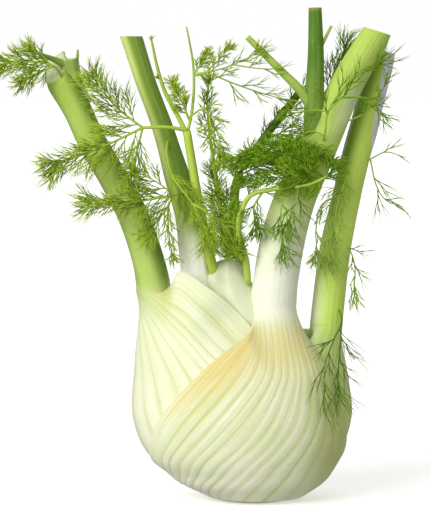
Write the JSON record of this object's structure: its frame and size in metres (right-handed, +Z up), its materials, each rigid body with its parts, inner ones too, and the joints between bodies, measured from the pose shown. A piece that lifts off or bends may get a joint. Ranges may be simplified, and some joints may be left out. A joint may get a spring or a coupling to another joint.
{
  "type": "fennel bulb",
  "caption": "Fresh fennel bulb standing on its trimmed root, pale ribbed sheaths below and cut green stalks with feathery fronds above.",
  "frame": {"origin": "centre of the flat root cut, on the surface that the bulb stands on", "axes": "+Z up along the stalks, +X to the right across the bulb's wide side, -Y towards the front"},
  "size_m": [0.1928, 0.0729, 0.2261],
  "materials": {
    "root_cut": "dull cut plant tissue, pale tan",
    "front_sheath": "waxy ivory skin with pale green veins",
    "left_sheath": "waxy ivory to light green skin with lime veins",
    "right_sheath": "waxy green skin with a pale cut slice",
    "inner_stalk": "waxy skin, white below and green above",
    "heart": "matt greyish white young leaf",
    "foliage": "soft green threads"
  },
  "bodies": {
    "root": {"root_end": "root_cut", "stalk_right_front": "front_sheath", "stalk_left": "left_sheath", "stalk_right": "right_sheath", "stalk_left_inner": "inner_stalk", "heart_leaf": "heart", "frond_left_top": "foliage", "young_leaf_left": "foliage", "young_leaf_centre": "foliage", "young_leaf_right": "foliage", "frond_right_front": "foliage", "frond_left_low": "foliage", "frond_over_left_stalk": "foliage", "frond_right_side": "foliage", "frond_right_edge": "foliage", "frond_right_low": "foliage", "frond_hanging_low": "foliage", "frond_behind_right": "foliage", "frond_over_right_stalk": "foliage"}
  },
  "joints": []
}
